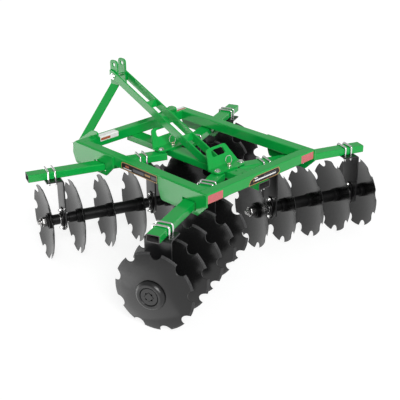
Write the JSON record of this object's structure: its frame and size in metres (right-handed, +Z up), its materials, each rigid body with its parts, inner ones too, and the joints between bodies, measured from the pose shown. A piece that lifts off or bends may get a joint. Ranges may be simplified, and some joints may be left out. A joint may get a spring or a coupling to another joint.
{
  "type": "disc harrow",
  "caption": "Hitch-mounted tandem disc harrow: a welded tube frame with a mast over angled gangs of notched concave discs, whose angle sliding plates set.",
  "frame": {"origin": "on the ground, under the middle of the machine's box", "axes": "+Y the way the harrow is towed, +X to its right, +Z up"},
  "size_m": [1.9357, 1.5438, 1.026],
  "materials": {
    "green_paint": "semi-gloss green enamel",
    "black_paint": "semi-gloss black enamel",
    "disc_paint": "gloss black enamel on steel discs, satin black on their cast spools",
    "zinc": "bright zinc plate"
  },
  "bodies": {
    "frame": {"side_rail_left": "green_paint", "side_rail_right": "green_paint", "cross_tube_front": "green_paint", "cross_tube_rear": "green_paint", "centre_beam": "green_paint", "side_plate_front_left": "green_paint", "side_plate_front_right": "green_paint", "side_plate_rear_left": "green_paint", "side_plate_rear_right": "green_paint", "hitch_plate_left": "green_paint", "hitch_plate_right": "green_paint", "lower_hitch_pin_left": "zinc", "lower_hitch_pin_right": "zinc", "mast_bar_left": "green_paint", "mast_bar_right": "green_paint", "mast_bolt": "zinc", "mast_braces": "green_paint"},
    "adjuster_front": {"adjuster_plate_front": "green_paint", "adjuster_pin_front": "zinc"},
    "adjuster_rear": {"adjuster_plate_rear": "green_paint", "adjuster_pin_rear": "zinc"},
    "bar_front_left": {"gang_bar_front_left": "green_paint", "hanger_front_left_outer": "black_paint", "hanger_front_left_inner": "black_paint"},
    "gang_front_left": {"disc_gang_front_left": "disc_paint"},
    "bar_front_right": {"gang_bar_front_right": "green_paint", "hanger_front_right_outer": "black_paint", "hanger_front_right_inner": "black_paint"},
    "gang_front_right": {"disc_gang_front_right": "disc_paint"},
    "bar_rear_left": {"gang_bar_rear_left": "green_paint", "hanger_rear_left_outer": "black_paint", "hanger_rear_left_inner": "black_paint"},
    "gang_rear_left": {"disc_gang_rear_left": "disc_paint"},
    "bar_rear_right": {"gang_bar_rear_right": "green_paint", "hanger_rear_right_outer": "black_paint", "hanger_rear_right_inner": "black_paint"},
    "gang_rear_right": {"disc_gang_rear_right": "disc_paint"}
  },
  "joints": [
    {"name": "slide_front", "type": "slide", "parent": "frame", "child": "adjuster_front", "axis": [0, 1, 0], "range_m": [0, 0.11]},
    {"name": "slide_rear", "type": "slide", "parent": "frame", "child": "adjuster_rear", "axis": [0, -1, 0], "range_m": [0, 0.11]},
    {"name": "angle_front_left", "type": "hinge", "parent": "adjuster_front", "child": "bar_front_left", "pos_m": [-0.1, 0.22948, 0.556], "axis": [0, 0, 1], "range_deg": [0, 16.5]},
    {"name": "spin_front_left", "type": "hinge", "parent": "bar_front_left", "child": "gang_front_left", "pos_m": [-0.42121, 0.35537, 0.22804], "axis": [-0.9311, 0.3649, 0], "continuous": true},
    {"name": "angle_front_right", "type": "hinge", "parent": "adjuster_front", "child": "bar_front_right", "pos_m": [0.1, 0.22948, 0.556], "axis": [0, 0, 1], "range_deg": [-16.5, 0]},
    {"name": "spin_front_right", "type": "hinge", "parent": "bar_front_right", "child": "gang_front_right", "pos_m": [0.42121, 0.35537, 0.22804], "axis": [0.9311, 0.3649, 0], "continuous": true},
    {"name": "angle_rear_left", "type": "hinge", "parent": "adjuster_rear", "child": "bar_rear_left", "pos_m": [-0.1, -0.25351, 0.556], "axis": [0, 0, 1], "range_deg": [-16.5, 0]},
    {"name": "spin_rear_left", "type": "hinge", "parent": "bar_rear_left", "child": "gang_rear_left", "pos_m": [-0.56367, -0.43522, 0.22804], "axis": [-0.9311, -0.3649, 0], "continuous": true},
    {"name": "angle_rear_right", "type": "hinge", "parent": "adjuster_rear", "child": "bar_rear_right", "pos_m": [0.1, -0.25351, 0.556], "axis": [0, 0, 1], "range_deg": [0, 16.5]},
    {"name": "spin_rear_right", "type": "hinge", "parent": "bar_rear_right", "child": "gang_rear_right", "pos_m": [0.56367, -0.43522, 0.22804], "axis": [0.9311, -0.3649, 0], "continuous": true}
  ],
  "couplings": [
    {"joint": "angle_front_left", "follows": "slide_front", "rad_per_m": 2.589},
    {"joint": "angle_front_right", "follows": "slide_front", "rad_per_m": -2.589},
    {"joint": "angle_rear_left", "follows": "slide_rear", "rad_per_m": -2.589},
    {"joint": "angle_rear_right", "follows": "slide_rear", "rad_per_m": 2.589}
  ]
}
